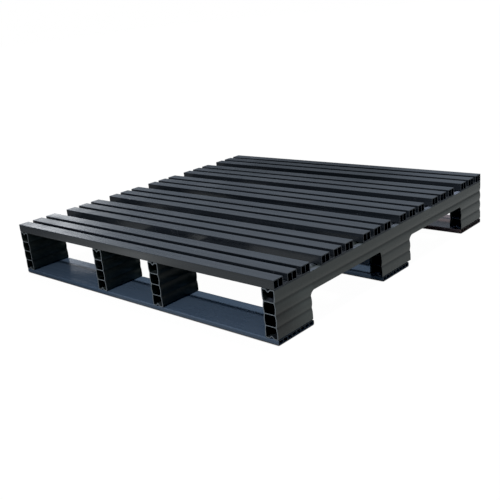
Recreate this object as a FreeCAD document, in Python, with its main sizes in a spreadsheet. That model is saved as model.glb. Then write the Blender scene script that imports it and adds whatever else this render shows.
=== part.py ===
import FreeCAD, Part
import math
import os
import Sketcher

# Extruded-profile plastic pallet, 1000 x 1000 x 154 mm, four-way entry.
#
# Frame: origin at the centre of the footprint on the floor.
#   +X  along the deck boards and the bottom boards, towards the right
#   +Y  along the stringers, towards the rear (the front is at -Y)
#   +Z  up
#
# Pieces: six ribbed deck boards on four ladder-profile stringers, three thin
# bottom boards under the stringers' feet, and the screws at each crossing.

doc = FreeCAD.newDocument("ProfilePallet")

# ---------------------------------------------------------------- dimensions

# alias, value, note
DIMENSIONS = [
    # footprint
    ("pallet_length_x", 1000.0, "length of every board, along X"),
    ("pallet_depth_y", 1000.0, "length of every stringer, along Y"),
    # deck board profile
    ("deck_board_width", 130.0, "width of one deck board"),
    ("deck_board_height", 23.0, "height of one deck board"),
    ("deck_board_gap", 44.0, "gap between neighbouring deck boards"),
    ("deck_rib_width", 33.0, "width of each raised rib"),
    ("deck_valley_width", 15.5, "width of the valley between two ribs"),
    ("deck_valley_floor", 4.0, "thickness of the valley floor"),
    ("deck_side_wall", 2.3, "outer side walls of a rib"),
    ("deck_web_wall", 2.0, "centre web of a rib"),
    ("deck_top_wall", 2.6, "top wall of a rib"),
    ("deck_bottom_wall", 2.4, "bottom wall under the cells"),
    ("deck_rib_radius", 1.2, "rounding along the rib's top edges"),
    ("deck_foot_radius", 1.8, "rounding along the board's lower edges"),
    # stringer profile
    ("stringer_width", 37.0, "overall width of the stringer"),
    ("stringer_height", 119.0, "overall height of the stringer"),
    ("stringer_wall", 2.6, "outer walls and webs"),
    ("stringer_dent", 2.2, "depth of the side dents at each web, before rounding"),
    ("stringer_dent_radius", 8.0, "rounding at the bottom of a dent"),
    ("stringer_groove_half", 6.5, "half width of the V-groove"),
    ("stringer_groove_depth", 5.5, "depth of the V-groove"),
    ("stringer_top_radius", 2.0, "upper outer corner radius"),
    ("stringer_low_radius", 4.0, "lower outer corner radius"),
    ("stringer_inner_left", 122.5, "distance of the left inner stringer from the middle"),
    ("stringer_inner_right", 105.5, "distance of the right inner stringer from the middle"),
    ("stringer_hole_depth", 14.0, "depth of the screw holes, from the top or the underside"),
    # fork notches in the stringers
    ("notch_height", 72.0, "height of the fork notch above the stringer's underside"),
    ("notch_radius", 12.0, "radius of the notch's upper corners"),
    ("notch_overrun", 5.0, "reach of the notch outline below the stringer's underside"),
    ("foot_front_depth", 128.0, "depth of the front and rear feet"),
    ("foot_middle_depth", 144.0, "depth of the middle foot"),
    # bottom board profile
    ("base_board_width", 130.0, "width of one bottom board"),
    ("base_board_height", 12.0, "height of one bottom board"),
    ("base_board_wall", 2.0, "top and bottom walls"),
    ("base_board_side", 2.6, "side walls"),
    ("base_board_web", 1.8, "webs between the cells"),
    ("base_board_radius", 3.5, "rounded long edges"),
    ("base_middle_start", 431.0, "front edge of the middle bottom board, from the front"),
    # screws
    ("screw_shank_radius", 2.5, "shank radius"),
    ("screw_hole_radius", 2.6, "hole radius in the boards and the stringers"),
    ("screw_head_radius", 5.0, "pan head radius"),
    ("screw_head_height", 3.2, "pan head height"),
    ("screw_deck_length", 31.0, "deck screw, below the head"),
    ("screw_base_length", 27.0, "bottom screw, above the head"),
    ("screw_tip_length", 4.0, "conical tip"),
    ("screw_rim_share", 0.45, "straight rim of the head, share of its height"),
    ("drive_arm_share", 0.52, "reach of the drive cross, share of the head radius"),
    ("drive_half_share", 0.11, "half width of a drive arm, share of the head radius"),
    ("drive_depth_share", 0.62, "depth of the drive cross, share of the head height"),
    ("access_hole_radius", 5.8, "hole in the bottom skin that lets the head through"),
]

DECK_BOARDS = 6
DECK_RIBS = 3
BASE_CELLS = 8
BASE_SCREW_CELLS = (2, 5)  # counted from 0 at the board's front edge


class Size:
    """A length held both as a number and as the expression that drives it."""

    def __init__(self, value, text):
        self.value = float(value)
        self.text = text

    @staticmethod
    def of(item):
        return item if isinstance(item, Size) else Size(item, "%.6f" % float(item))

    def __add__(self, other):
        other = Size.of(other)
        return Size(self.value + other.value, "(%s + %s)" % (self.text, other.text))

    def __sub__(self, other):
        other = Size.of(other)
        return Size(self.value - other.value, "(%s - %s)" % (self.text, other.text))

    def __mul__(self, other):
        other = Size.of(other)
        return Size(self.value * other.value, "(%s * %s)" % (self.text, other.text))

    def __rmul__(self, other):
        return Size.of(other) * self

    def __truediv__(self, other):
        other = Size.of(other)
        return Size(self.value / other.value, "(%s / %s)" % (self.text, other.text))

    def __neg__(self):
        return Size(-self.value, "(0 - %s)" % self.text)


def root(size):
    return Size(math.sqrt(size.value), "sqrt(%s)" % size.text)


DIM = {}
sheet = doc.addObject("Spreadsheet::Sheet", "Dims")
for row, (alias, value, note) in enumerate(DIMENSIONS, start=1):
    sheet.set("A%d" % row, alias)
    sheet.set("B%d" % row, repr(value))
    sheet.set("C%d" % row, note)
    sheet.setAlias("B%d" % row, alias)
    DIM[alias] = Size(value, "Dims.%s" % alias)
doc.recompute()

# ------------------------------------------------------------------- helpers


def new_body(name):
    return doc.addObject("PartDesign::Body", name)


def place(body, x, y, z):
    for axis, size in (("x", x), ("y", y), ("z", z)):
        size = Size.of(size)
        setattr(body.Placement.Base, axis, size.value)
        body.setExpression("Placement.Base.%s" % axis, size.text)


def new_sketch(body, name, role, offset=None):
    """Sketch on the body's origin plane with this role, raised by the offset."""
    plane = next(item for item in body.Origin.OriginFeatures if item.Role == role)
    sketch = body.newObject("Sketcher::SketchObject", name)
    sketch.AttachmentSupport = [(plane, "")]
    sketch.MapMode = "FlatFace"
    if offset is not None:
        sketch.AttachmentOffset = FreeCAD.Placement(
            FreeCAD.Vector(0, 0, offset.value), FreeCAD.Rotation())
        sketch.setExpression("AttachmentOffset.Base.z", offset.text)
    return sketch


def constrain(sketch, size, kind, *references):
    """Add a dimensional constraint driven by the size's expression."""
    index = sketch.addConstraint(Sketcher.Constraint(kind, *references, size.value))
    sketch.setExpression("Constraints[%d]" % index, size.text)


def pin_point(sketch, geo, pos, x, y):
    """Fix one sketch point by its two distances from the sketch origin."""
    for kind, size, axis in (("DistanceX", x, -2), ("DistanceY", y, -1)):
        size = Size.of(size)
        if abs(size.value) < 1e-9:
            sketch.addConstraint(Sketcher.Constraint("PointOnObject", geo, pos, axis))
        elif size.value > 0:
            constrain(sketch, size, kind, -1, 1, geo, pos)
        else:
            constrain(sketch, -size, kind, geo, pos, -1, 1)


def make_arc(start, end, radius, side):
    """Arc between two points; its centre lies left (+1) or right (-1) of travel."""
    (start_x, start_y), (end_x, end_y) = start, end
    chord = math.hypot(end_x - start_x, end_y - start_y)
    reach = math.sqrt(max(radius ** 2 - chord ** 2 / 4.0, 0.0))
    centre_x = (start_x + end_x) / 2.0 - side * reach * (end_y - start_y) / chord
    centre_y = (start_y + end_y) / 2.0 + side * reach * (end_x - start_x) / chord
    first = math.atan2(start_y - centre_y, start_x - centre_x)
    last = math.atan2(end_y - centre_y, end_x - centre_x)
    # sketch arcs always run counterclockwise
    if side < 0:
        first, last = last, first
    if last < first:
        last += 2 * math.pi
    circle = Part.Circle(
        FreeCAD.Vector(centre_x, centre_y, 0), FreeCAD.Vector(0, 0, 1), radius)
    return Part.ArcOfCircle(circle, first, last)


def add_loop(sketch, loop):
    """Closed outline. Each item is (x, y) for a straight run to the next point
    or (x, y, radius, side) for an arc, with the side as in make_arc."""
    points = [(Size.of(item[0]).value, Size.of(item[1]).value) for item in loop]
    edges = []  # geometry index, its start point, its end point
    for i, item in enumerate(loop):
        start, end = points[i], points[(i + 1) % len(loop)]
        if len(item) == 2:
            geo = sketch.addGeometry(Part.LineSegment(
                FreeCAD.Vector(*start, 0), FreeCAD.Vector(*end, 0)), False)
            edges.append((geo, 1, 2))
            continue
        radius, side = item[2:]
        geo = sketch.addGeometry(make_arc(start, end, radius.value, side), False)
        edges.append((geo, 1, 2) if side > 0 else (geo, 2, 1))
    for i, item in enumerate(loop):
        geo, first, last = edges[i]
        next_geo, next_first, _ = edges[(i + 1) % len(loop)]
        sketch.addConstraint(
            Sketcher.Constraint("Coincident", geo, last, next_geo, next_first))
        pin_point(sketch, geo, first, item[0], item[1])
        if len(item) > 2:
            constrain(sketch, item[2], "Radius", geo)


def add_rectangle(sketch, left, low, right, high):
    add_loop(sketch, [(left, low), (right, low), (right, high), (left, high)])


def add_circles(sketch, columns, rows, radius):
    """One circle at every crossing of the columns (x) and the rows (y)."""
    for x in columns:
        for y in rows:
            geo = sketch.addGeometry(Part.Circle(
                FreeCAD.Vector(x.value, y.value, 0),
                FreeCAD.Vector(0, 0, 1), radius.value), False)
            pin_point(sketch, geo, 3, x, y)
            constrain(sketch, radius, "Radius", geo)


def pad(body, name, sketch, length, reverse=False):
    feature = body.newObject("PartDesign::Pad", name)
    feature.Profile = sketch
    feature.Length = length.value
    feature.setExpression("Length", length.text)
    feature.Reversed = reverse
    doc.recompute()


def pocket(body, name, sketch, length=None, reverse=False):
    """Cut against the sketch's normal, or along it when reversed; without a
    length the cut goes through everything."""
    before = body.Shape.Volume
    feature = body.newObject("PartDesign::Pocket", name)
    feature.Profile = sketch
    if length is None:
        feature.Type = "ThroughAll"
    else:
        feature.Type = "Length"
        feature.Length = length.value
        feature.setExpression("Length", length.text)
    feature.Reversed = reverse
    doc.recompute()
    if not body.Shape.Volume < before - 1.0:
        raise RuntimeError("%s of %s cuts nothing" % (name, body.Label))


# ---------------------------------------------------------- shared positions

half_x = DIM["pallet_length_x"] / 2
half_y = DIM["pallet_depth_y"] / 2
half_stringer = DIM["stringer_width"] / 2
stringer_base = DIM["base_board_height"]
deck_base = DIM["base_board_height"] + DIM["stringer_height"]

# centres of the four stringers, from the left end of a board
stringer_centres = [
    half_stringer,
    half_x - DIM["stringer_inner_left"],
    half_x + DIM["stringer_inner_right"],
    DIM["pallet_length_x"] - half_stringer,
]

# front edges of the boards, from the pallet's front
board_pitch = DIM["deck_board_width"] + DIM["deck_board_gap"]
deck_starts = [board_pitch * i for i in range(DECK_BOARDS)]
base_starts = [
    Size.of(0.0),
    DIM["base_middle_start"],
    DIM["pallet_depth_y"] - DIM["base_board_width"],
]

# deck screws sit in the middle of each valley, from the board's front edge
rib_pitch = DIM["deck_rib_width"] + DIM["deck_valley_width"]
valley_centres = [
    rib_pitch * i + DIM["deck_rib_width"] + DIM["deck_valley_width"] / 2
    for i in range(DECK_RIBS - 1)
]

# cells of a bottom board, and its screw lines, from the board's front edge
base_cell_width = (DIM["base_board_width"] - 2 * DIM["base_board_side"]
                   - (BASE_CELLS - 1) * DIM["base_board_web"]) / BASE_CELLS
base_cell_starts = [
    DIM["base_board_side"] + i * (base_cell_width + DIM["base_board_web"])
    for i in range(BASE_CELLS)
]
base_screw_lines = [base_cell_starts[i] + base_cell_width / 2 for i in BASE_SCREW_CELLS]


# --------------------------------------------------------------- deck boards

def deck_board(name, start):
    """Three raised ribs with two cells each, joined by two valley floors."""
    body = new_body(name)
    top = DIM["deck_board_height"]
    width = DIM["deck_board_width"]
    crown = DIM["deck_rib_radius"]
    foot = DIM["deck_foot_radius"]
    floor = DIM["deck_valley_floor"]
    rib = DIM["deck_rib_width"]

    outline = [
        (foot, 0.0),
        (width - foot, 0.0, foot, 1),
        (width, foot),
    ]
    for index in reversed(range(DECK_RIBS)):
        left = rib_pitch * index
        right = left + rib
        outline += [
            (right, top - crown, crown, 1),
            (right - crown, top),
            (left + crown, top, crown, 1),
            (left, top - crown),
        ]
        if index:
            outline += [(left, floor), (left - DIM["deck_valley_width"], floor)]
    outline.append((0.0, foot, foot, 1))
    profile = new_sketch(body, name + "_profile", "YZ_Plane")
    add_loop(profile, outline)

    wall, web = DIM["deck_side_wall"], DIM["deck_web_wall"]
    cell = (rib - 2 * wall - web) / 2
    for index in range(DECK_RIBS):
        for side in range(2):
            left = rib_pitch * index + wall + side * (cell + web)
            add_rectangle(profile, left, DIM["deck_bottom_wall"],
                          left + cell, top - DIM["deck_top_wall"])
    pad(body, name + "_extrusion", profile, DIM["pallet_length_x"])

    holes = new_sketch(body, name + "_screw_holes", "XY_Plane", top)
    add_circles(holes, stringer_centres, valley_centres, DIM["screw_hole_radius"])
    pocket(body, name + "_drilling", holes)
    place(body, -half_x, start - half_y, deck_base)
    return body


# ----------------------------------------------------------------- stringers

def stringer_profile(body, name):
    """Ladder profile of four cells. Each side wall swells between the webs and
    is dented at every web; the top wall has a V-groove, the bottom wall an
    inverted one."""
    width = DIM["stringer_width"]
    top = DIM["stringer_height"]
    wall = DIM["stringer_wall"]
    middle = half_stringer
    half_web = wall / 2
    pitch = (top - wall) / 4
    half_pitch = pitch / 2
    webs = [half_web + pitch * k for k in (1, 2, 3)]
    swell_low = webs[0] - half_pitch
    swell_high = webs[2] + half_pitch

    # swelling of the side wall: an arc over one pitch, as high as the dent
    dent = DIM["stringer_dent"]
    swell = (half_pitch * half_pitch + dent * dent) / (2 * dent)
    # rounding between two swellings: centre distance and touching points
    small = DIM["stringer_dent_radius"]
    across = root((swell + small) * (swell + small) - half_pitch * half_pitch)
    touch_in = swell - across * swell / (swell + small)
    touch_up = half_pitch - half_pitch * swell / (swell + small)

    groove = DIM["stringer_groove_half"]
    deep = DIM["stringer_groove_depth"]
    high_radius = DIM["stringer_top_radius"]
    low_radius = DIM["stringer_low_radius"]

    outline = [
        (low_radius, 0.0),
        (middle - groove, 0.0),
        (middle, deep),
        (middle + groove, 0.0),
        (width - low_radius, 0.0, low_radius, 1),
        (width, low_radius),
        (width, swell_low, swell, 1),
    ]
    for web in webs:
        outline += [
            (width - touch_in, web - touch_up, small, -1),
            (width - touch_in, web + touch_up, swell, 1),
        ]
    outline += [
        (width, swell_high),
        (width, top - high_radius, high_radius, 1),
        (width - high_radius, top),
        (middle + groove, top),
        (middle, top - deep),
        (middle - groove, top),
        (high_radius, top, high_radius, 1),
        (0.0, top - high_radius),
        (0.0, swell_high, swell, 1),
    ]
    for web in reversed(webs):
        outline += [
            (touch_in, web + touch_up, small, -1),
            (touch_in, web - touch_up, swell, 1),
        ]
    outline += [
        (0.0, swell_low),
        (0.0, low_radius, low_radius, 1),
    ]
    sketch = new_sketch(body, name + "_profile", "XZ_Plane")
    add_loop(sketch, outline)

    # cells: the inner faces run parallel to the outer walls
    inner = swell - wall
    reach = half_pitch - half_web
    bow = inner - root(inner * inner - reach * reach)
    left = wall
    right = width - wall
    # the groove's inner face: half width at the wall, and height of its tip
    slant = root(groove * groove + deep * deep)
    inner_groove = groove + wall * (slant - groove) / deep
    inner_tip = deep + wall * slant / groove
    # bottom cell
    add_loop(sketch, [
        (left, wall),
        (middle - inner_groove, wall),
        (middle, inner_tip),
        (middle + inner_groove, wall),
        (right, wall),
        (right, swell_low, inner, 1),
        (right - bow, webs[0] - half_web),
        (left + bow, webs[0] - half_web, inner, 1),
        (left, swell_low),
    ])
    # two middle cells
    for low, high in zip(webs, webs[1:]):
        add_loop(sketch, [
            (left + bow, low + half_web),
            (right - bow, low + half_web, inner, 1),
            (right - bow, high - half_web),
            (left + bow, high - half_web, inner, 1),
        ])
    # top cell
    add_loop(sketch, [
        (left + bow, webs[2] + half_web),
        (right - bow, webs[2] + half_web, inner, 1),
        (right, swell_high),
        (right, top - wall),
        (middle + inner_groove, top - wall),
        (middle, top - inner_tip),
        (middle - inner_groove, top - wall),
        (left, top - wall),
        (left, swell_high, inner, 1),
    ])
    return sketch


def cut_notches(body, name):
    """Two fork notches, seen from the side, that leave three feet."""
    foot = DIM["foot_front_depth"]
    middle_foot = DIM["foot_middle_depth"]
    bay = (DIM["pallet_depth_y"] - 2 * foot - middle_foot) / 2
    low = -DIM["notch_overrun"]
    top = DIM["notch_height"]
    bend = DIM["notch_radius"]
    notches = new_sketch(body, name + "_notches", "YZ_Plane")
    for near in (foot, foot + bay + middle_foot):
        far = near + bay
        add_loop(notches, [
            (near, low),
            (far, low),
            (far, top - bend, bend, 1),
            (far - bend, top),
            (near + bend, top, bend, 1),
            (near, top - bend),
        ])
    pocket(body, name + "_notching", notches, reverse=True)


def stringer(name, centre):
    """Notched ladder profile, drilled through both of its grooves."""
    body = new_body(name)
    # the XZ plane's normal points to -Y, so the pad is reversed
    pad(body, name + "_extrusion", stringer_profile(body, name),
        DIM["pallet_depth_y"], reverse=True)
    cut_notches(body, name)

    radius, depth = DIM["screw_hole_radius"], DIM["stringer_hole_depth"]
    upper = new_sketch(body, name + "_upper_holes", "XY_Plane", DIM["stringer_height"])
    upper_rows = [start + valley for start in deck_starts for valley in valley_centres]
    add_circles(upper, [half_stringer], upper_rows, radius)
    pocket(body, name + "_upper_drilling", upper, depth)
    lower = new_sketch(body, name + "_lower_holes", "XY_Plane")
    lower_rows = [start + line for start in base_starts for line in base_screw_lines]
    add_circles(lower, [half_stringer], lower_rows, radius)
    pocket(body, name + "_lower_drilling", lower, depth, reverse=True)
    place(body, centre - half_stringer - half_x, -half_y, stringer_base)
    return body


# ------------------------------------------------------------- bottom boards

def base_board(name, start):
    """Thin hollow board with eight cells and rounded long edges."""
    body = new_body(name)
    width = DIM["base_board_width"]
    top = DIM["base_board_height"]
    edge = DIM["base_board_radius"]
    wall = DIM["base_board_wall"]
    profile = new_sketch(body, name + "_profile", "YZ_Plane")
    add_loop(profile, [
        (edge, 0.0),
        (width - edge, 0.0, edge, 1),
        (width, edge),
        (width, top - edge, edge, 1),
        (width - edge, top),
        (edge, top, edge, 1),
        (0.0, top - edge),
        (0.0, edge, edge, 1),
    ])
    for left in base_cell_starts:
        add_rectangle(profile, left, wall, left + base_cell_width, top - wall)
    pad(body, name + "_extrusion", profile, DIM["pallet_length_x"])

    holes = new_sketch(body, name + "_screw_holes", "XY_Plane", top)
    add_circles(holes, stringer_centres, base_screw_lines, DIM["screw_hole_radius"])
    pocket(body, name + "_drilling", holes)
    access = new_sketch(body, name + "_access_holes", "XY_Plane")
    add_circles(access, stringer_centres, base_screw_lines, DIM["access_hole_radius"])
    pocket(body, name + "_access_drilling", access, top - 2 * wall, reverse=True)
    place(body, -half_x, start - half_y, 0.0)
    return body


# -------------------------------------------------------------------- screws

def screw_body(name, length):
    """Pan-head screw with a cross drive, head up, seat of the head at z = 0."""
    body = new_body(name)
    head_radius, head_height = DIM["screw_head_radius"], DIM["screw_head_height"]
    shank = DIM["screw_shank_radius"]
    rim = head_height * DIM["screw_rim_share"]
    rise = head_height - rim
    dome = (head_radius * head_radius + rise * rise) / (2 * rise)
    profile = new_sketch(body, name + "_half_profile", "XZ_Plane")
    add_loop(profile, [
        (0.0, -length),
        (shank, DIM["screw_tip_length"] - length),
        (shank, 0.0),
        (head_radius, 0.0),
        (head_radius, rim, dome, 1),
        (0.0, head_height),
    ])
    turned = body.newObject("PartDesign::Revolution", name + "_turned")
    turned.Profile = profile
    turned.ReferenceAxis = (profile, ["V_Axis"])
    turned.Angle = 360.0
    doc.recompute()

    recess = new_sketch(body, name + "_recess", "XY_Plane", head_height)
    arm = head_radius * DIM["drive_arm_share"]
    half = head_radius * DIM["drive_half_share"]
    add_loop(recess, [
        (half, half), (half, arm), (-half, arm), (-half, half),
        (-arm, half), (-arm, -half), (-half, -half), (-half, -arm),
        (half, -arm), (half, -half), (arm, -half), (arm, half),
    ])
    pocket(body, name + "_drive", recess, head_height * DIM["drive_depth_share"])
    return body


def screw_group(name, pattern, start, lines, seat, flip=False):
    """All screws of one board, as separate solids in one piece. The lines are
    measured from the board's front edge; flipped screws point up."""
    turn = FreeCAD.Rotation(FreeCAD.Vector(1, 0, 0), 180.0 if flip else 0.0)
    pieces = []
    for centre in stringer_centres:
        for line in lines:
            spot = FreeCAD.Vector(
                (centre - half_x).value, (start + line - half_y).value, seat.value)
            piece = pattern.Shape.copy()
            piece.Placement = FreeCAD.Placement(spot, turn)
            pieces.append(piece)
    group = doc.addObject("Part::Feature", name)
    group.Shape = Part.makeCompound(pieces)
    return group


# ------------------------------------------------------------------ assembly

base_places = list(zip(("front", "middle", "rear"), base_starts))
stringer_places = zip(
    ("left_outer", "left_inner", "right_inner", "right_outer"), stringer_centres)

pieces = []
for number, start in enumerate(deck_starts, start=1):
    pieces.append(deck_board("top_deck_board_%d" % number, start))
for label, centre in stringer_places:
    pieces.append(stringer("stringer_" + label, centre))
for label, start in base_places:
    pieces.append(base_board("bottom_board_" + label, start))

deck_screw = screw_body("deck_screw_pattern", DIM["screw_deck_length"])
base_screw = screw_body("base_screw_pattern", DIM["screw_base_length"])

# deck screws seat on the valley floors, bottom screws inside the cells
deck_seat = deck_base + DIM["deck_valley_floor"]
base_seat = DIM["base_board_height"] - DIM["base_board_wall"]
for number, start in enumerate(deck_starts, start=1):
    pieces.append(screw_group("deck_screws_board_%d" % number, deck_screw,
                              start, valley_centres, deck_seat))
for label, start in base_places:
    pieces.append(screw_group("bottom_screws_" + label, base_screw,
                              start, base_screw_lines, base_seat, flip=True))

# -------------------------------------------------------------------- output

doc.recompute()
for item in doc.Objects:
    for flag in item.State:
        if flag in ("Invalid", "Error"):
            raise RuntimeError("%s is %s" % (item.Label, flag))
for item in pieces + [deck_screw, base_screw]:
    if item.Shape.isNull() or not item.Shape.isValid():
        raise RuntimeError("%s has no valid shape" % item.Label)

os.makedirs("parts", exist_ok=True)
for item in pieces:
    item.Shape.exportStep(os.path.join("parts", item.Label + ".step"))
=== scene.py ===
"""Looks of a black plastic pallet made of extruded profiles, built around its CAD pieces.

The pallet stands on z = 0, centred on the origin, with its front toward -Y. Deck and bottom
boards run along X, stringers along Y. Node graphs and staging are in metres and degrees,
profile sizes in millimetres.
"""
import math
from dataclasses import dataclass
from types import SimpleNamespace

import bmesh
import bpy
from mathutils import Matrix, Vector
from mathutils.geometry import delaunay_2d_cdt

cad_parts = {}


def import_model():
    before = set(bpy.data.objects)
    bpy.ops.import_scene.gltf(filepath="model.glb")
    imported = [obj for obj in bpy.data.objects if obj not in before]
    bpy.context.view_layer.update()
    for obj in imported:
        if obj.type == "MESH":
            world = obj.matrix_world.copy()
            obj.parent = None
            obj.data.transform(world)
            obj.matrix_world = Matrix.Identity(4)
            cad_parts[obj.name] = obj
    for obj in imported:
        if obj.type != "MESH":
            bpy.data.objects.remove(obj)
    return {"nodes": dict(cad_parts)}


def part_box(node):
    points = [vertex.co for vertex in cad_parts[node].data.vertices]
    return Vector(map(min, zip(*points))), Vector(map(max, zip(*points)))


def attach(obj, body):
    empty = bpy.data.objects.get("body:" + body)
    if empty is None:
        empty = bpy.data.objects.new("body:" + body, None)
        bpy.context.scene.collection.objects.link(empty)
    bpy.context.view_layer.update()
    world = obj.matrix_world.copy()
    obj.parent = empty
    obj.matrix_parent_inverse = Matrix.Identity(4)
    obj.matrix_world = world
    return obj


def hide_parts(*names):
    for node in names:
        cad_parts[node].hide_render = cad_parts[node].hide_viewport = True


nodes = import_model()["nodes"]
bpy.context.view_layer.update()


# ---------------------------------------------------------------- node helpers
class Graph:
    """A thin wrapper over a node tree; except for node, calls that add nodes return an output."""

    def __init__(self, tree):
        self.tree = tree
        tree.nodes.clear()

    def put(self, socket, value):
        """Links a socket or sets a value; a colour of three numbers becomes opaque."""
        if isinstance(value, bpy.types.NodeSocket):
            self.tree.links.new(value, socket)
            return
        if hasattr(value, "__len__") and len(value) < len(socket.default_value):
            value = (*value, 1.0)
        socket.default_value = value

    def node(self, kind, inputs=(), **settings):
        """Adds a node; inputs maps socket names or numbers to values or sockets."""
        made = self.tree.nodes.new(kind)
        for key, value in settings.items():
            setattr(made, key, value)
        for key, value in dict(inputs).items():
            self.put(made.inputs[key], value)
        return made

    def surface(self, shader, kind="ShaderNodeOutputMaterial"):
        self.node(kind, {"Surface": shader.outputs[0]})

    def math(self, operation, *values, clamp=False):
        made = self.node("ShaderNodeMath", enumerate(values), operation=operation, use_clamp=clamp)
        return made.outputs[0]

    def fold(self, operation, values):
        total = values[0]
        for value in values[1:]:
            total = self.math(operation, total, value)
        return total

    def times(self, *values):
        return self.fold("MULTIPLY", values)

    def plus(self, *values):
        return self.fold("ADD", values)

    def minus(self, a, b):
        return self.math("SUBTRACT", a, b)

    def weighted(self, *pairs):
        """Sum of (value, weight) pairs."""
        return self.plus(*[self.times(value, weight) for value, weight in pairs])

    def affine(self, value, scale, offset):
        return self.math("MULTIPLY_ADD", value, scale, offset)

    def vector(self, operation, *values):
        made = self.node("ShaderNodeVectorMath", enumerate(values), operation=operation)
        return made.outputs["Value" if operation in ("DOT_PRODUCT", "LENGTH") else "Vector"]

    def split(self, vector):
        return self.node("ShaderNodeSeparateXYZ", {0: vector}).outputs

    def join(self, x, y, z):
        return self.node("ShaderNodeCombineXYZ", {0: x, 1: y, 2: z}).outputs[0]

    def noise(self, place, scale, detail, rough):
        inputs = {"Vector": place, "Scale": scale, "Detail": detail, "Roughness": rough}
        return self.node("ShaderNodeTexNoise", inputs).outputs["Fac"]

    def ramp(self, value, over, to=(0.0, 1.0), smooth=True):
        """Maps the range over onto the range to, clamped at both ends."""
        inputs = {"Value": value, "From Min": over[0], "From Max": over[1],
                  "To Min": to[0], "To Max": to[1]}
        kind = "SMOOTHSTEP" if smooth else "LINEAR"
        made = self.node("ShaderNodeMapRange", inputs, interpolation_type=kind)
        return made.outputs["Result"]

    def blend(self, factor, a, b, mode="MIX", amount=None):
        """Colour a going to b by factor, which amount scales down first."""
        if amount is not None:
            factor = self.times(factor, amount)
        made = self.node("ShaderNodeMix", {"Factor": factor}, data_type="RGBA", blend_type=mode)
        for socket, value in zip([s for s in made.inputs if s.type == "RGBA"], (a, b)):
            self.put(socket, value)
        return [s for s in made.outputs if s.type == "RGBA"][0]

    def scaled(self, colour, level):
        return self.blend(1.0, colour, self.join(level, level, level), "MULTIPLY")

    def bump(self, height, distance, normal=None):
        inputs = {"Height": height, "Distance": distance, "Strength": 1.0}
        if normal is not None:
            inputs["Normal"] = normal
        return self.node("ShaderNodeBump", inputs).outputs["Normal"]


def new_material(name):
    material = bpy.data.materials.new(name)
    material.use_nodes = True
    return material, Graph(material.node_tree)


# ------------------------------------------------------------------- plastics
FALLING = (1.0, 0.0)
NEAR_BLACK = (0.004, 0.0045, 0.005)
SCRATCH_GREY = (0.16, 0.165, 0.175)
WORN_GREY = (0.13, 0.135, 0.14)


@dataclass
class Look:
    """What sets one extruded plastic apart from the others."""
    along: str                    # axis of the die run
    base: tuple                   # one end of the lengthwise colour drift
    light: tuple                  # the other end
    cut: tuple                    # sawn faces
    dust_sheen_share: float                   # share of dust and painted sheen on faces that look up
    rough: float                  # middle roughness
    relief: float                 # depth of the die lines
    streak: float = 1.0           # contrast of the die lines
    seed: float = 0.0             # offset into the noises
    dust_sheen_colour: tuple = (0.30, 0.31, 0.33)   # colour of the dust and painted sheen
    notch_shade_colour: tuple = None          # painted shade on faces cut across the run away from the ends
    seams: tuple = ()             # heights of the side dents, darkened with painted shade
    dust_sheen_along_x: dict = None        # ramp of the dust and painted sheen along X
    rear_light_colour: tuple = None            # colour of a painted patch of light on the rear board
    fade: float = None            # brightness left by painted shade at the -X end
    shaded_low_front: bool = False    # painted shade at the low front end
    dull_shaded_rear: bool = False       # weaker mirror and painted shade toward +Y
    dark_inside: bool = False     # painted shade on faces turned toward +X inside the pallet


def darker(colour, share):
    return [channel * share for channel in colour]


def shared_fields(g, look):
    """Places, facings and noises that the steps below share."""
    f = SimpleNamespace()
    f.coords = g.node("ShaderNodeTexCoord").outputs["Object"]
    f.geometry = g.node("ShaderNodeNewGeometry")
    f.x, f.y, f.z = g.split(f.coords)
    f.run, f.across = (f.x, f.y) if look.along == "X" else (f.y, f.x)
    f.facing_x, facing_y, f.up = g.split(f.geometry.outputs["True Normal"])
    f.end_on = g.math("ABSOLUTE", f.facing_x if look.along == "X" else facing_y)

    def lines(across, along, detail, shift=0.0, rough=0.6):
        """Noise stretched along the run; across and along are its densities per metre."""
        place = g.join(g.affine(f.run, scale=along, offset=look.seed + shift),
                       g.times(f.across, across), g.times(f.z, across))
        return g.noise(place, scale=1.0, detail=detail, rough=rough)

    def spots(shift, scale, detail, rough):
        return g.noise(g.vector("ADD", f.coords, shift), scale, detail, rough)

    f.broad = lines(across=70.0, along=1.1, detail=3.0)
    f.medium = lines(across=260.0, along=1.6, detail=3.0, shift=4.0)
    f.fine = lines(across=1100.0, along=2.2, detail=2.0, shift=9.0)
    f.ripple = lines(across=30.0, along=2.6, detail=1.0, rough=0.5)
    f.cloud = spots((look.seed, 3.1, 7.7), scale=7.0, detail=4.0, rough=0.6)
    f.speck = spots((look.seed, 1.3, 2.9), scale=240.0, detail=3.0, rough=0.65)
    f.gaps = spots((9.2, look.seed, 0.4), scale=26.0, detail=2.0, rough=0.5)
    return f


def drifting_colour(g, f, look):
    """Lengthwise drift between the two plastic colours, with a painted patch of warm light at the
    rear.
    """
    drift = g.ramp(g.weighted((f.broad, 0.45), (f.medium, 0.55)), over=(0.36, 0.64))
    colour = g.blend(drift, look.base, look.light, amount=0.9 * look.streak)
    # painted patch of warm light on the rear board
    if look.rear_light_colour:
        patch = g.times(g.ramp(f.y, over=(0.30, 0.36)),
                        g.ramp(f.cloud, over=(0.30, 0.60), to=(0.55, 1.0)),
                        g.ramp(f.x, over=(-0.10, 0.30), to=(0.25, 1.0)))
        colour = g.blend(patch, colour, look.rear_light_colour)
    return colour


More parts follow.
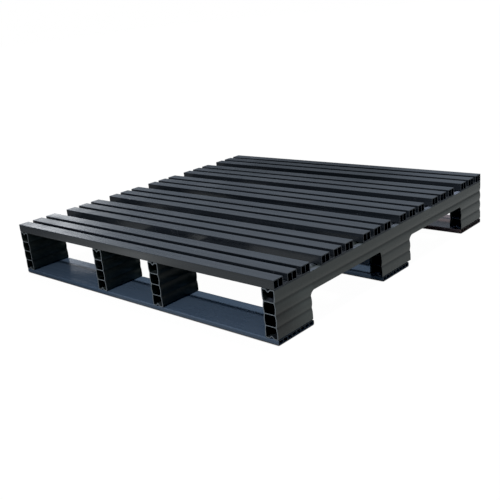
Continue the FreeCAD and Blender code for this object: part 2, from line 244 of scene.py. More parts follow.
def dust_and_sheen(g, f, look):
    """Cloudy, streaked dust on faces that look up; on the stringers it is a painted sheen on their
    tops.
    """
    grain = g.weighted((f.speck, 0.4), (f.medium, 0.6))
    dust_sheen_mask = g.times(g.ramp(f.up, over=(0.35, 0.95)),
                      g.ramp(f.cloud, over=(0.38, 0.72)),
                      g.ramp(grain, over=(0.36, 0.64), to=(0.45, 1.0)))
    if look.dust_sheen_along_x:
        dust_sheen_mask = g.times(dust_sheen_mask, g.ramp(f.x, **look.dust_sheen_along_x))
    return dust_sheen_mask


def shaded_left_and_middle(g, f, look, colour):
    """Painted shade: darker toward -X, and a little more between the outer boards."""
    middle = g.times(g.ramp(f.y, over=(-0.30, -0.10)),
                     g.ramp(f.y, over=(0.20, 0.30), to=FALLING))
    level = g.times(g.ramp(f.x, over=(-0.46, -0.05), to=(look.fade, 1.0)),
                    g.affine(middle, scale=-0.16, offset=1.0))
    return g.scaled(colour, level)


def long_scratches(g, f):
    """Thin broken scratches: edges of long cells laid at a shallow angle to the run."""
    slant = g.join(g.weighted((f.run, 9.0), (f.across, 22.0)),
                   g.weighted((f.across, 160.0), (f.run, -46.0)),
                   g.times(f.z, 160.0))
    cells = g.node("ShaderNodeTexVoronoi", {"Vector": slant, "Scale": 1.0, "Randomness": 1.0},
                   feature="DISTANCE_TO_EDGE")
    return g.times(g.ramp(cells.outputs["Distance"], over=(0.0, 0.018), to=FALLING),
                   g.ramp(f.gaps, over=(0.56, 0.70)))


def worn_corners(g, f):
    """Patchy wear where the rounded normal leaves the face normal."""
    rounded = g.node("ShaderNodeBevel", {"Radius": 0.0011}, samples=4)
    corner = g.vector("DOT_PRODUCT", rounded.outputs["Normal"], f.geometry.outputs["Normal"])
    patchy = g.plus(f.cloud, g.times(f.speck, 0.5))
    return g.times(g.ramp(corner, over=(0.985, 0.86)),
                   g.ramp(patchy, over=(0.62, 0.92), to=(0.15, 1.0)))


def blade_marks(g, f):
    """Wave of the saw: curved bands, made uneven by the cloud."""
    phase = g.plus(g.times(f.z, 900.0), g.times(f.across, f.across, 5200.0),
                   g.times(f.cloud, 6.0))
    return g.math("SINE", phase)


def sawn_faces(g, f, look, blade):
    """Speckled grey with the bands of the blade, with painted shade toward -X and on the faces cut
    inside the notches.
    """
    colour = g.blend(g.ramp(f.speck, over=(0.30, 0.70)), darker(look.cut, 0.62), look.cut)
    colour = g.blend(g.ramp(blade, over=(-1.0, 1.0)), colour, darker(look.cut, 0.55), amount=0.25)
    # painted shade toward -X
    colour = g.blend(g.ramp(f.x, over=(-0.48, -0.10), to=(0.30, 0.0)), colour, NEAR_BLACK)
    # faces cut away from the ends, inside the notches, get painted shade
    if look.notch_shade_colour:
        at_end = g.ramp(g.math("ABSOLUTE", f.run), over=(0.487, 0.495))
        notch_shade_colour = g.blend(f.speck, darker(look.notch_shade_colour, 0.6), look.notch_shade_colour)
        colour = g.blend(at_end, notch_shade_colour, colour)
    return colour


# painted shade on the low front end of the stringers
def low_front_shade(g, f):
    near = g.ramp(f.y, over=(-0.505, -0.395), to=FALLING, smooth=False)
    low = g.ramp(f.z, over=(0.110, 0.070))
    return g.times(near, low, g.ramp(f.cloud, over=(0.25, 0.65), to=(0.75, 1.1)), 0.80)


def lit_foot_band(g, f, colour):
    """Painted light: a lighter band behind the painted shade of the low front corner."""
    band = g.times(g.ramp(f.y, over=(-0.475, -0.395)),
                   g.ramp(f.y, over=(-0.371, -0.360), to=FALLING),
                   g.ramp(f.z, over=(0.112, 0.088)),
                   g.ramp(f.cloud, over=(0.30, 0.62), to=(0.75, 1.2)))
    return g.scaled(colour, g.affine(band, scale=0.55, offset=1.0))


def dent_and_corner_shade(g, f, look, sawn):
    """Painted shade in the side dents and on the low front corner, none on sawn faces."""
    shadow = 0.0
    # painted shade along each side dent
    for height in look.seams:
        below = g.ramp(f.z, over=(height - 0.0060, height - 0.0008))
        above = g.ramp(f.z, over=(height + 0.0008, height + 0.0036), to=FALLING)
        shadow = g.math("MAXIMUM", shadow, g.times(below, above, 0.42))
    if look.shaded_low_front:
        shadow = g.plus(shadow, low_front_shade(g, f))
    shadow = g.times(shadow, g.minus(1.0, sawn))
    if look.dark_inside:
        bay = g.times(g.ramp(f.facing_x, over=(0.30, 0.80)), g.ramp(f.x, over=(0.44, 0.42)))
        shadow = g.times(shadow, g.affine(bay, scale=-0.80, offset=1.0))
    return shadow


def mirror_strength(g, f, look, colour):
    """Colour and mirror strength; the mirror is weaker on parts of each plastic, and the colour
    gets painted shade at the deck's rear middle and inside the pallet.
    """
    if look.dull_shaded_rear:
        # painted shade at the rear middle of the deck
        off_centre = g.math("ABSOLUTE", g.plus(f.x, 0.06))
        rear_dull_shade = g.times(g.ramp(f.y, over=(0.12, 0.43), smooth=False),
                       g.ramp(off_centre, over=(0.20, 0.45), to=FALLING))
        colour = g.blend(rear_dull_shade, colour, NEAR_BLACK, amount=0.50)
        return colour, g.minus(1.0, g.times(rear_dull_shade, 0.38))
    if look.dark_inside:
        # painted shade on faces turned toward +X inside the pallet
        inner = g.times(g.ramp(f.x, over=(0.44, 0.42)), g.ramp(f.x, over=(0.02, 0.10)))
        inward = g.times(g.ramp(f.facing_x, over=(0.30, 0.80)), inner)
        colour = g.blend(inward, colour, NEAR_BLACK, amount=0.35)
        return colour, g.minus(1.0, g.times(inward, 0.10))
    # streaky on the -X side, full on the +X side
    streaks = g.plus(f.broad, g.times(f.medium, 0.6))
    mirror = g.times(g.ramp(f.y, over=(-0.450, -0.415), to=(0.16, 1.0)),
                     g.ramp(streaks, over=(0.68, 0.92), to=(0.45, 1.05)))
    return colour, g.math("MAXIMUM", mirror, g.ramp(f.x, over=(-0.14, -0.04)))


def roughness(g, f, look, dust_sheen_mask, scratch, sawn):
    shine = g.plus(look.rough,
                   g.times(g.minus(f.medium, 0.5), 0.26 * look.streak),
                   g.times(g.minus(f.cloud, 0.5), 0.14),
                   g.times(dust_sheen_mask, 0.22),
                   g.times(scratch, 0.15))
    return g.math("MAXIMUM", shine, g.times(sawn, 0.62), clamp=True)


def surface_relief(g, f, look, body, scratch, blade, sawn):
    """Slow ripple along the run, die lines, scratches, and saw marks on the sawn faces."""
    normal = g.bump(f.ripple, distance=0.0008)
    normal = g.bump(g.times(f.medium, body), distance=0.00022 * look.relief, normal=normal)
    normal = g.bump(g.times(f.fine, body), distance=0.00005 * look.relief, normal=normal)
    normal = g.bump(scratch, distance=-0.00006, normal=normal)
    return g.bump(g.times(g.plus(blade, f.speck), sawn), distance=0.00006, normal=normal)


def extruded_plastic(name, look):
    """Black recycled plastic drawn through a die along one axis."""
    material, g = new_material(name)
    f = shared_fields(g, look)

    colour = drifting_colour(g, f, look)
    dust_sheen_mask = dust_and_sheen(g, f, look)
    # dust, and on the stringers a painted sheen on their tops
    colour = g.blend(dust_sheen_mask, colour, look.dust_sheen_colour, amount=look.dust_sheen_share)
    # painted shade toward -X and between the outer boards
    if look.fade:
        colour = shaded_left_and_middle(g, f, look, colour)
    scratch = long_scratches(g, f)
    colour = g.blend(scratch, colour, SCRATCH_GREY, amount=0.35)
    colour = g.blend(worn_corners(g, f), colour, WORN_GREY, amount=0.45)

    sawn = g.ramp(f.end_on, over=(0.20, 0.50) if look.fade else (0.80, 0.97))
    blade = blade_marks(g, f)
    colour = g.blend(sawn, colour, sawn_faces(g, f, look, blade))
    # painted light band on the stringers' front feet
    if look.shaded_low_front:
        colour = lit_foot_band(g, f, colour)

    # painted shade: cell interiors darkened from the occlusion, joined with the painted shade of
    # the dents and the low front corner
    occlusion = g.node("ShaderNodeAmbientOcclusion", {"Distance": 0.03},
                       samples=6, only_local=True)
    hollow = g.ramp(occlusion.outputs["AO"], over=(0.12, 0.42), to=FALLING)
    shadow = g.math("MAXIMUM", dent_and_corner_shade(g, f, look, sawn), g.times(hollow, 0.80), clamp=True)
    colour = g.blend(shadow, colour, (0.0, 0.0, 0.0))
    colour, mirror = mirror_strength(g, f, look, colour)

    body = g.minus(1.0, sawn)
    run_axis = (1.0, 0.0, 0.0) if look.along == "X" else (0.0, 1.0, 0.0)
    g.surface(g.node("ShaderNodeBsdfPrincipled", {
        "Base Color": colour,
        "Roughness": roughness(g, f, look, dust_sheen_mask, scratch, sawn),
        "IOR": g.affine(mirror, scale=0.50, offset=1.0),
        "Specular IOR Level": g.minus(0.5, g.weighted((hollow, 0.28), (sawn, 0.20))),
        "Normal": surface_relief(g, f, look, body, scratch, blade, sawn),
        "Anisotropic": g.times(body, 0.5),
        "Tangent": g.vector("CROSS_PRODUCT", f.geometry.outputs["Normal"], run_axis),
    }))
    return material


def zinc_steel(name):
    """Zinc-plated screw: bright, faintly blotched, with a fine grain."""
    material, g = new_material(name)
    coords = g.node("ShaderNodeTexCoord").outputs["Object"]
    blotch = g.noise(coords, scale=420.0, detail=3.0, rough=0.6)
    grain = g.noise(coords, scale=2600.0, detail=2.0, rough=0.6)
    dull_zinc, bright_zinc = (0.42, 0.43, 0.45), (0.62, 0.63, 0.64)
    g.surface(g.node("ShaderNodeBsdfPrincipled", {
        "Base Color": g.blend(g.ramp(blotch, over=(0.35, 0.65)), dull_zinc, bright_zinc),
        "Metallic": 1.0,
        "Roughness": g.plus(0.26, g.times(blotch, 0.22)),
        "Normal": g.bump(grain, distance=0.00003),
    }))
    return material


deck_plastic = extruded_plastic("deck_black", Look(
    along="X", base=(0.0110, 0.0125, 0.0150), light=(0.0195, 0.0220, 0.0260),
    cut=(0.045, 0.048, 0.053), dust_sheen_share=0.04, rough=0.23, relief=0.26, dull_shaded_rear=True))
stringer_plastic = extruded_plastic("stringer_black", Look(
    along="Y", base=(0.0245, 0.0280, 0.0255), light=(0.035, 0.040, 0.036),
    cut=(0.165, 0.180, 0.192), notch_shade_colour=(0.006, 0.0065, 0.007),
    # the stringers' 'dust' is a painted sheen on their tops, brighter toward +X
    dust_sheen_share=0.85, dust_sheen_colour=(0.20, 0.22, 0.29), dust_sheen_along_x={"over": (-0.15, 0.48), "to": (0.10, 1.0)},
    rough=0.31, relief=0.03, streak=0.35, seed=21.0, seams=(0.0424, 0.0715, 0.1006),
    shaded_low_front=True, dark_inside=True))
base_plastic = extruded_plastic("base_black", Look(
    along="X", base=(0.048, 0.069, 0.100), light=(0.060, 0.083, 0.121),
    cut=(0.008, 0.009, 0.010), rear_light_colour=(0.124, 0.077, 0.067),
    dust_sheen_share=0.0, rough=0.26, relief=0.15, streak=0.5, seed=43.0, fade=0.66))
zinc = zinc_steel("zinc_steel")

PLASTICS = {"top_deck_board": deck_plastic, "stringer": stringer_plastic,
            "bottom_board": base_plastic}
for name, obj in nodes.items():
    chosen = next((PLASTICS[start] for start in PLASTICS if name.startswith(start)), zinc)
    for slot in obj.material_slots:
        slot.material = chosen

# ----------------------------------------------------------- profile outlines
MM = 0.001          # metres in a millimetre
ARC_STEPS = 6
END_EASE = 0.35     # chamfer-like rounding of the sawn ends
EASE_MIDDLE = 0.29  # where the rounding's middle lies, as a share of END_EASE


def arc(x0, y0, x1, y1, radius, side):
    """Points between the ends of an arc; its centre lies left (+1) or right (-1) of the chord."""
    chord = math.hypot(x1 - x0, y1 - y0)
    reach = math.sqrt(radius * radius - chord * chord / 4)
    cx = (x0 + x1) / 2 - side * reach * (y1 - y0) / chord
    cy = (y0 + y1) / 2 + side * reach * (x1 - x0) / chord
    start = math.atan2(y0 - cy, x0 - cx)
    stop = math.atan2(y1 - cy, x1 - cx)
    turn = (stop - start + math.pi) % (2 * math.pi) - math.pi
    angles = [start + turn * i / ARC_STEPS for i in range(1, ARC_STEPS)]
    return [(cx + radius * math.cos(a), cy + radius * math.sin(a)) for a in angles]


def fillet(before, corner, after, radius):
    """Points that round a corner, smaller than asked where its sides are short."""
    corner = Vector(corner)
    x, y = corner_xy = before[2:]
    to_before = Vector((before[0] - x, before[1] - y))
    to_after = Vector((after[0] - x, after[1] - y))
    room = 0.48 * min(to_before.length, to_after.length)
    to_before.normalize()
    to_after.normalize()
    half = math.acos(max(-1.0, min(1.0, to_before.dot(to_after)))) / 2
    reach = min(radius / math.tan(half), room)
    radius = reach * math.tan(half)
    centre = Vector(corner_xy) + (to_before + to_after).normalized() * (radius / math.sin(half))
    first = corner + to_before * reach - centre
    last = corner + to_after * reach - centre
    start = math.atan2(first.y, first.x)
    turn = (math.atan2(last.y, last.x) - start + math.pi) % (2 * math.pi) - math.pi
    steps = 4 if radius < 3.0 else 12
    angles = [start + turn * k / steps for k in range(steps + 1)]
    return [(centre.x + radius * math.cos(a), centre.y + radius * math.sin(a)) for a in angles]


def loop_of(corners):
    """Closed outline, turning left, from (x, y, rounding) corners; a corner that goes on with
    (..., radius, side) starts an arc to the next one."""
    path = []
    for i, (x, y, rounding, *bend) in enumerate(corners):
        path.append((x, y, rounding))
        if bend:
            end_x, end_y = corners[(i + 1) % len(corners)][:2]
            path += [(px, py, 0.0) for px, py in arc(x, y, end_x, end_y, *bend)]
    loop = []
    for i, (x, y, rounding) in enumerate(path):
        if rounding > 0:
            before, after = path[i - 1][:2], path[(i + 1) % len(path)][:2]
            loop += fillet((*before, x, y), (x, y), after, rounding)
        else:
            loop.append((x, y))
    return loop


def rectangle(left, right, bottom, top, rounding):
    return loop_of([(left, bottom, rounding), (right, bottom, rounding),
                    (right, top, rounding), (left, top, rounding)])


def circle(x, y, radius, steps):
    angles = [2 * math.pi * i / steps for i in range(steps)]
    return [(x + radius * math.cos(a), y + radius * math.sin(a)) for a in angles]


def grown(loop, amount):
    """The loop moved outwards by amount."""
    made = []
    for i, (x, y) in enumerate(loop):
        px, py = loop[i - 1]
        nx, ny = loop[(i + 1) % len(loop)]
        arriving = Vector((x - px, y - py)).normalized()
        leaving = Vector((nx - x, ny - y)).normalized()
        out = Vector((arriving.y + leaving.y, -arriving.x - leaving.x)).normalized()
        stretch = 1.0 / max(out.dot(Vector((arriving.y, -arriving.x))), 0.5)
        made.append((x + out.x * amount * stretch, y + out.y * amount * stretch))
    return made


def eased(loops, amount):
    """Outline drawn in and cells widened by amount; the outline comes first."""
    return [grown(loop, amount if index else -amount) for index, loop in enumerate(loops)]


def inside(point, loop):
    x, y = point
    hit = False
    for i in range(len(loop)):
        (x0, y0), (x1, y1) = loop[i - 1], loop[i]
        if (y0 > y) != (y1 > y) and x < (x1 - x0) * (y - y0) / (y1 - y0) + x0:
            hit = not hit
    return hit


def sheet(loops):
    """Triangles between the outline and its cells, as indices into all their points."""
    edges, first = [], 0
    for loop in loops:
        edges += [(first + i, first + (i + 1) % len(loop)) for i in range(len(loop))]
        first += len(loop)
    points = [Vector(p) for loop in loops for p in loop]
    spots, _, faces, source, _, _ = delaunay_2d_cdt(points, edges, [], 0, 1e-6)
    kept = []
    for face in faces:
        centre = (spots[face[0]] + spots[face[1]] + spots[face[2]]) / 3
        if sum(inside(centre, loop) for loop in loops) == 1:
            kept.append([source[i][0] for i in face])
    return kept


# ---------------------------------------------------------------- mesh helpers
def new_object(name, bm=None):
    """Links an object whose mesh comes from bm, with normals made consistent."""
    bmesh.ops.recalc_face_normals(bm, faces=bm.faces)
    mesh = bpy.data.meshes.new(name)
    bm.to_mesh(mesh)
    bm.free()
    made = bpy.data.objects.new(name, mesh)
    bpy.context.scene.collection.objects.link(made)
    return made


def extrusion(name, outline, cells, along, low, length):
    """A hollow profile drawn along one axis from its low corner, with eased ends."""
    loops = [outline] + cells
    middle = END_EASE * EASE_MIDDLE
    stations = [(0.0, END_EASE), (middle, middle), (END_EASE, 0.0),
                (length - END_EASE, 0.0), (length - middle, middle), (length, END_EASE)]
    bm = bmesh.new()
    rows = []
    for run, ease in stations:
        row = []
        for loop in eased(loops, ease):
            spots = [(run, u, v) if along == "X" else (u, run, v) for u, v in loop]
            row.append([bm.verts.new([low[k] * MM + spot[k] * MM for k in range(3)])
                        for spot in spots])
        rows.append(row)
    for near_row, far_row in zip(rows, rows[1:]):
        for near, far in zip(near_row, far_row):
            for i in range(len(near)):
                bm.faces.new((near[i - 1], near[i], far[i], far[i - 1]))
    cap = sheet(eased(loops, END_EASE))
    for row in (rows[0], rows[-1]):
        verts = [vert for ring in row for vert in ring]
        for triangle in cap:
            bm.faces.new([verts[i] for i in triangle])
    return new_object(name, bm)


def prism(bm, shape, axis, low, high):
    """Adds a closed prism with the given outline to bm."""
    rings = []
    for level in (low, high):
        spots = [(level, u, v) if axis == "X" else (u, v, level) for u, v in shape]
        rings.append([bm.verts.new([value * MM for value in spot]) for spot in spots])
    for i in range(len(shape)):
        bm.faces.new((rings[0][i - 1], rings[0][i], rings[1][i], rings[1][i - 1]))
    bm.faces.new(rings[0])
    bm.faces.new(rings[1][::-1])


def carve(obj, cutters):
    """Cuts prisms, given as (outline, axis, low, high), out of obj's mesh."""
    bm = bmesh.new()
    for cutter in cutters:
        prism(bm, *cutter)
    tool = new_object("cutter", bm)
    tool_mesh = tool.data
    cut = obj.modifiers.new("cut", "BOOLEAN")
    cut.operation, cut.solver, cut.object = "DIFFERENCE", "EXACT", tool
    bpy.context.view_layer.update()
    evaluated = obj.evaluated_get(bpy.context.evaluated_depsgraph_get())
    carved = bpy.data.meshes.new_from_object(evaluated)
    obj.modifiers.clear()
    spare, obj.data = obj.data, carved
    carved.name = obj.name
    bpy.data.meshes.remove(spare)
    bpy.data.objects.remove(tool)
    bpy.data.meshes.remove(tool_mesh)


def hang(obj, node, material):
    """Smooth-shades the small roundings, not the edges, and puts obj in the node's place."""
    obj.data.shade_smooth()
    obj.data.set_sharp_from_angle(angle=math.radians(50.0))
    obj.modifiers.new("weighted", "WEIGHTED_NORMAL").keep_sharp = True
    obj.data.materials.clear()
    obj.data.materials.append(material)
    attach(obj, "root")
    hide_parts(node)


# ------------------------------------------------------- boards and stringers
HOLE_RADIUS, HOLE_STEPS = 2.6, 28
COUNTERBORE_RADIUS, COUNTERBORE_STEPS = 5.8, 40

# deck board: ribs over a thin floor, two cells in each rib
RIBS, RIB, RIB_GAP = 3, 33.0, 15.5
RIB_WALL, RIB_CELL, RIB_WEB = 2.3, 13.2, 2.0
RIB_CELL_FLOOR, RIB_CELL_ROOF, RIB_CELL_ROUND = 2.4, 2.6, 1.0
DECK_FLOOR = 4.0
DECK_EDGE_ROUND, RIB_TOP_ROUND, RIB_FOOT_ROUND = 1.8, 1.2, 0.7

# bottom board: one row of cells
BASE_CELLS, BASE_CELL, BASE_WEB = 8, 14.025, 1.8
BASE_WALL, BASE_SKIN = 2.6, 2.0
BASE_ROUND, BASE_CELL_ROUND = 3.5, 0.9
BASE_HOLE_CELLS = (2, 5)

# stringer: four cells, side walls dented at each web, a groove down the top and the bottom
WALL = 2.6
DENT_DEPTH, DENT_RADIUS = 2.2, 8.0
GROOVE_HALF, GROOVE_DEPTH = 6.5, 5.5
GROOVE_ROUNDS, GROOVE_INNER_ROUNDS = (1.2, 0.8), (0.8, 1.4)   # mouth, tip
FOOT_ROUND, HEAD_ROUND, CELL_ROUND = 4.0, 2.0, 1.0
NOTCHES = ((-372.0, -72.0), (72.0, 372.0))   # Y ranges
NOTCH_HEIGHT, NOTCH_ROUND, NOTCH_START = 72.0, 12.0, -5.0


def span(node):
    """A node's box in millimetres."""
    low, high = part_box(node)
    return [v / MM for v in low], [v / MM for v in high]


def row_of(count, first, size, step):
    return [(first + i * step, first + i * step + size) for i in range(count)]


def nodes_named(start):
    return sorted(name for name in nodes if name.startswith(start))


def middle_x(node):
    low, high = span(node)
    return (low[0] + high[0]) / 2


def deck_hole_rows(node):
    """Y of the two hole rows of a deck board, midway between its ribs."""
    start = span(node)[0][1]
    return [start + k * RIB + (k - 0.5) * RIB_GAP for k in (1, 2)]


def base_hole_rows(node):
    """Y of the two hole rows of a bottom board, in the middle of two cells."""
    start = span(node)[0][1]
    return [start + BASE_WALL + k * (BASE_CELL + BASE_WEB) + BASE_CELL / 2
            for k in BASE_HOLE_CELLS]


deck_nodes = nodes_named("top_deck_board")
stringer_nodes = nodes_named("stringer")
base_nodes = nodes_named("bottom_board")
stringer_middles = [middle_x(node) for node in stringer_nodes]


def hole(x, y, low, high, radius=HOLE_RADIUS, steps=HOLE_STEPS):
    """Cutter for an upright round hole."""
    return circle(x, y, radius, steps), "Z", low, high


def deck_board(node):
    """Ribs over a thin floor, with holes through the floor between them."""
    low, high = span(node)
    width, top = high[1] - low[1], high[2] - low[2]
    ribs = row_of(RIBS, 0.0, RIB, RIB + RIB_GAP)
    corners = [(0.0, 0.0, DECK_EDGE_ROUND), (width, 0.0, DECK_EDGE_ROUND)]
    for left, right in reversed(ribs):
        corners += [(right, top, RIB_TOP_ROUND), (left, top, RIB_TOP_ROUND)]
        if left > 0.0:
            corners += [(left, DECK_FLOOR, RIB_FOOT_ROUND),
                        (left - RIB_GAP, DECK_FLOOR, RIB_FOOT_ROUND)]
    cells = [rectangle(a, b, RIB_CELL_FLOOR, top - RIB_CELL_ROOF, RIB_CELL_ROUND)
             for left, _ in ribs
             for a, b in row_of(2, left + RIB_WALL, RIB_CELL, RIB_CELL + RIB_WEB)]
    made = extrusion(node + "_extrusion", loop_of(corners), cells, "X", low, high[0] - low[0])
    carve(made, [hole(x, y, low[2] - 2.0, low[2] + 8.0)
                 for x in stringer_middles for y in deck_hole_rows(node)])
    hang(made, node, deck_plastic)


def side_measures(top):
    """Web heights, and the swelling of the side walls between the dents."""
    pitch = (top - WALL) / 4
    half = pitch / 2
    swell = (half * half + DENT_DEPTH * DENT_DEPTH) / (2 * DENT_DEPTH)
    across = math.sqrt((swell + DENT_RADIUS) ** 2 - half * half)
    inner = swell - WALL
    reach = half - WALL / 2
    return SimpleNamespace(
        webs=[WALL / 2 + pitch * k for k in (1, 2, 3)],
        half=half,
        swell=swell,
        # where dent and swelling meet: in from the side, up or down from the web
        touch_in=swell - across * swell / (swell + DENT_RADIUS),
        touch_up=half - half * swell / (swell + DENT_RADIUS),
        inner=inner,
        bow=inner - math.sqrt(inner * inner - reach * reach))


def groove(middle, half_width, mouth, tip, rounds, way):
    """Three corners of a groove, passed toward +X (way 1) or toward -X (way -1)."""
    return [(middle - way * half_width, mouth, rounds[0]), (middle, tip, rounds[1]),
            (middle + way * half_width, mouth, rounds[0])]


def stringer_outline(width, top, m):
    middle, bulge, dent = width / 2, (0, m.swell, 1), (0, DENT_RADIUS, -1)
    corners = [(0.0, 0.0, FOOT_ROUND)]
    corners += groove(middle, GROOVE_HALF, 0.0, GROOVE_DEPTH, GROOVE_ROUNDS, 1)
    corners += [(width, 0.0, FOOT_ROUND), (width, m.webs[0] - m.half, *bulge)]
    for web in m.webs:
        corners += [(width - m.touch_in, web - m.touch_up, *dent),
                    (width - m.touch_in, web + m.touch_up, *bulge)]
    corners += [(width, m.webs[2] + m.half, 0), (width, top, HEAD_ROUND)]
    corners += groove(middle, GROOVE_HALF, top, top - GROOVE_DEPTH, GROOVE_ROUNDS, -1)
    corners += [(0.0, top, HEAD_ROUND), (0.0, m.webs[2] + m.half, *bulge)]
    for web in reversed(m.webs):
        corners += [(m.touch_in, web + m.touch_up, *dent),
                    (m.touch_in, web - m.touch_up, *bulge)]
    return loop_of(corners + [(0.0, m.webs[0] - m.half, 0)])


def stringer_cells(width, top, m):
    """Four cells, one wall thickness inside the outline and the grooves."""
    middle, left, right = width / 2, WALL, width - WALL
    bowed_left, bowed_right = left + m.bow, right - m.bow
    straight, bulge = (CELL_ROUND,), (CELL_ROUND, m.inner, 1)
    slant = math.hypot(GROOVE_HALF, GROOVE_DEPTH)
    mouth_half = GROOVE_HALF + WALL * (slant - GROOVE_HALF) / GROOVE_DEPTH
    tip = GROOVE_DEPTH + WALL * slant / GROOVE_HALF

    start, end = m.webs[0] - m.half, m.webs[0] - WALL / 2
    cells = [loop_of(
        [(left, WALL, *straight)]
        + groove(middle, mouth_half, WALL, tip, GROOVE_INNER_ROUNDS, 1)
        + [(right, WALL, *straight), (right, start, 0, m.inner, 1),
           (bowed_right, end, *straight), (bowed_left, end, *bulge), (left, start, 0)])]
    for lower, upper in zip(m.webs, m.webs[1:]):
        low, high = lower + WALL / 2, upper - WALL / 2
        cells.append(loop_of([
            (bowed_left, low, *straight), (bowed_right, low, *bulge),
            (bowed_right, high, *straight), (bowed_left, high, *bulge)]))
    start, end = m.webs[2] + WALL / 2, m.webs[2] + m.half
    cells.append(loop_of(
        [(bowed_left, start, *straight), (bowed_right, start, *bulge), (right, end, 0),
         (right, top - WALL, *straight)]
        + groove(middle, mouth_half, top - WALL, top - tip, GROOVE_INNER_ROUNDS, -1)
        + [(left, top - WALL, *straight), (left, end, 0, m.inner, 1)]))
    return cells


def stringer(node):
    """Tall hollow beam with two notches from below and holes from both faces."""
    low, high = span(node)
    width, top = high[0] - low[0], high[2] - low[2]
    measures = side_measures(top)
    made = extrusion(node + "_extrusion", stringer_outline(width, top, measures),
                     stringer_cells(width, top, measures), "Y", low, high[1] - low[1])
    cuts = []
    for near, far in NOTCHES:
        roof = low[2] + NOTCH_HEIGHT
        shape = loop_of([(near, NOTCH_START, 0), (far, NOTCH_START, 0),
                         (far, roof, NOTCH_ROUND), (near, roof, NOTCH_ROUND)])
        cuts.append((shape, "X", low[0] - 4.0, high[0] + 4.0))
    x = middle_x(node)
    cuts += [hole(x, y, high[2] - 14.0, high[2] + 4.0)
             for board in deck_nodes for y in deck_hole_rows(board)]
    cuts += [hole(x, y, low[2] - 4.0, low[2] + 14.0)
             for board in base_nodes for y in base_hole_rows(board)]
    carve(made, cuts)
    hang(made, node, stringer_plastic)


def base_board(node):
    """Thin hollow board with round long edges and holes counterbored from below."""
    low, high = span(node)
    width, top = high[1] - low[1], high[2] - low[2]
    cells = [rectangle(a, b, BASE_SKIN, top - BASE_SKIN, BASE_CELL_ROUND)
             for a, b in row_of(BASE_CELLS, BASE_WALL, BASE_CELL, BASE_CELL + BASE_WEB)]
    made = extrusion(node + "_extrusion", rectangle(0.0, width, 0.0, top, BASE_ROUND),
                     cells, "X", low, high[0] - low[0])
    holes = []
    for x in stringer_middles:
        for y in base_hole_rows(node):
            holes.append(hole(x, y, low[2] + 6.0, high[2] + 2.0))
            holes.append(hole(x, y, low[2] - 2.0, low[2] + 5.0,
                              COUNTERBORE_RADIUS, COUNTERBORE_STEPS))
    carve(made, holes)
    hang(made, node, base_plastic)


for build, names in ((deck_board, deck_nodes), (stringer, stringer_nodes),
                     (base_board, base_nodes)):
    for node in names:
        build(node)


# ---------------------------------------------------------------------- floor
FLOOR_HALF, FLOOR_Z = 30.0, -0.0004


def floor_seen(g):
    """What the camera sees: near white, with a painted contact shadow where the pallet touches."""
    lit = g.node("ShaderNodeBsdfDiffuse", {"Color": (0.80, 0.80, 0.80)})
    # painted contact shadow from the occlusion
    touch = g.node("ShaderNodeAmbientOcclusion", {"Distance": 0.004}, samples=8)
    strength = g.ramp(touch.outputs["AO"], over=(0.25, 0.80), to=(0.02, 1.0))
    glow = g.node("ShaderNodeEmission", {"Color": (1.0, 1.0, 1.0), "Strength": strength})
    glow_share = 0.985
    return g.node("ShaderNodeMixShader", {0: glow_share, 1: lit.outputs[0], 2: glow.outputs[0]})


def floor_mirrored(g):
    """What other rays meet: grey, with painted shade under the pallet, far out and toward -X."""
    spot = g.node("ShaderNodeNewGeometry").outputs["Position"]
    x, y, _ = g.split(spot)
    far = g.vector("LENGTH", g.join(x, y, 0.0))
    edge = g.math("MAXIMUM", g.math("ABSOLUTE", x), g.math("ABSOLUTE", y))
    grey = g.times(g.ramp(far, over=(0.9, 2.2), to=(0.26, 0.09)),
                   g.ramp(edge, over=(0.42, 0.50), to=(0.12, 1.0)),
                   g.ramp(x, over=(-0.85, -0.50), to=(0.38, 1.0)))
    # a painted pool of light on the floor in front of the pallet
    glint = g.vector("LENGTH", g.vector("SUBTRACT", spot, (-0.29, -0.77, 0.0)))
    grey = g.plus(grey, g.ramp(glint, over=(0.23, 0.0), to=(0.0, 0.34)))
    yellowish = (1.0, 1.0, 0.95)
    colour = g.blend(1.0, g.join(grey, grey, grey), yellowish, "MULTIPLY")
    return g.node("ShaderNodeBsdfDiffuse", {"Color": colour})


def floor_material():
    material, g = new_material("floor_pale")
    camera_ray = g.node("ShaderNodeLightPath").outputs["Is Camera Ray"]
    g.surface(g.node("ShaderNodeMixShader", {
        0: camera_ray, 1: floor_mirrored(g).outputs[0], 2: floor_seen(g).outputs[0]}))
    return material


floor_mesh = bpy.data.meshes.new("floor")
floor_corners = [(x * FLOOR_HALF, y * FLOOR_HALF, FLOOR_Z)
                 for x, y in ((-1, -1), (1, -1), (1, 1), (-1, 1))]
floor_mesh.from_pydata(floor_corners, [], [(0, 1, 2, 3)])
floor = bpy.data.objects.new("floor", floor_mesh)
bpy.context.scene.collection.objects.link(floor)
floor.data.materials.append(floor_material())


# --------------------------------------------------------------------- lights
def sun(name, toward, strength):
    """A sun that shines from the direction toward and leaves no highlight."""
    lamp = bpy.data.lights.new(name, "SUN")
    lamp.energy = strength
    lamp.color = (0.97, 0.99, 1.0)
    lamp.angle = math.radians(4.0)
    made = bpy.data.objects.new(name, lamp)
    bpy.context.scene.collection.objects.link(made)
    made.rotation_mode = "QUATERNION"
    made.rotation_quaternion = Vector(toward).normalized().to_track_quat("Z", "Y")
    made.visible_glossy = False


sun("key_front", toward=(0.0, -1.0, 1.40), strength=2.1)
sun("key_top", toward=(0.04, 0.27, 1.0), strength=3.74)

HORIZON, OVERCAST, ZENITH = (0.056, 0.066, 0.078), (0.48, 0.56, 0.665), (0.50, 0.58, 0.70)
DARK_STRETCH, BRIGHT_OPENING = (0.012, 0.014, 0.016), (3.80, 3.90, 4.05)


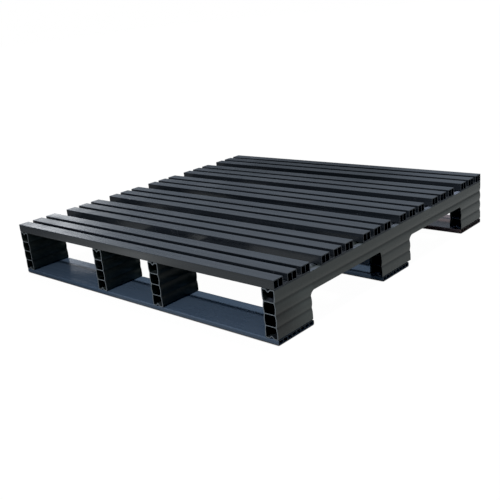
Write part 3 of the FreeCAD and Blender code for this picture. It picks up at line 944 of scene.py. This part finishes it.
def studio_world():
    """Overcast dome over a dim horizon; plain white to the camera."""
    world = bpy.data.worlds.new("studio")
    world.use_nodes = True
    g = Graph(world.node_tree)
    generated = g.node("ShaderNodeTexCoord").outputs["Generated"]
    x, y, z = g.split(g.vector("NORMALIZE", generated))
    degrees = 180.0 / math.pi
    turn = g.times(g.math("ARCTAN2", y, x), degrees)  # 0 is +X, 90 is +Y
    rise = g.times(g.math("ARCSINE", z), degrees)

    sky = g.blend(g.ramp(rise, over=(3.0, 25.0), smooth=False), HORIZON, OVERCAST)
    sky = g.blend(g.ramp(rise, over=(26.0, 85.0)), sky, ZENITH)
    # a darker stretch of horizon behind the pallet
    off_stretch = g.math("ABSOLUTE", g.minus(turn, 128.0))
    shade = g.times(g.ramp(off_stretch, over=(6.0, 15.0), to=FALLING),
                    g.ramp(rise, over=(12.0, 14.5), to=FALLING))
    sky = g.blend(shade, sky, DARK_STRETCH, amount=0.95)
    # a bright opening low toward -X, its near side stepping over with height
    side = g.minus(turn, g.ramp(rise, over=(13.4, 15.4), to=(0.0, 2.8)))
    opening = g.times(g.ramp(side, over=(141.9, 149.6)),
                      g.ramp(turn, over=(166.0, 178.0), to=FALLING),
                      g.ramp(rise, over=(15.2, 16.9), to=FALLING),
                      g.ramp(rise, over=(3.0, 8.0)))
    sky = g.blend(opening, sky, BRIGHT_OPENING)

    camera_ray = g.node("ShaderNodeLightPath").outputs["Is Camera Ray"]
    shown = g.blend(camera_ray, sky, (1.0, 1.0, 1.0))
    g.surface(g.node("ShaderNodeBackground", {"Color": shown, "Strength": 1.0}),
              kind="ShaderNodeOutputWorld")
    return world


scene = bpy.context.scene
scene.world = studio_world()

# --------------------------------------------------------------------- camera
CAMERA_RIGHT = (0.7355562360, 0.6699117959, -0.1008722429)
CAMERA_UP = (-0.1427796547, 0.2988474177, 0.9435593204)
CAMERA_BACK = (0.6622469282, -0.6796384381, 0.3154688566)
CAMERA_PLACE = (1.458149, -1.590575, 0.713121)

camera_data = bpy.data.cameras.new("camera")
camera = bpy.data.objects.new("camera", camera_data)
scene.collection.objects.link(camera)
axes = Matrix((CAMERA_RIGHT, CAMERA_UP, CAMERA_BACK)).transposed()
camera.matrix_world = Matrix.Translation(CAMERA_PLACE) @ axes.to_4x4()
camera_data.sensor_width = 36.0
camera_data.lens = 52.570
camera_data.shift_x = 0.03126
camera_data.shift_y = 0.00045
camera_data.clip_start = 0.05
camera_data.clip_end = 200.0
scene.camera = camera

view = scene.view_settings
view.view_transform = "Standard"
view.look = "None"
view.use_curve_mapping = True
view.curve_mapping.black_level = (0.0027, 0.0027, 0.0026)
view.curve_mapping.update()

bpy.context.view_layer.update()
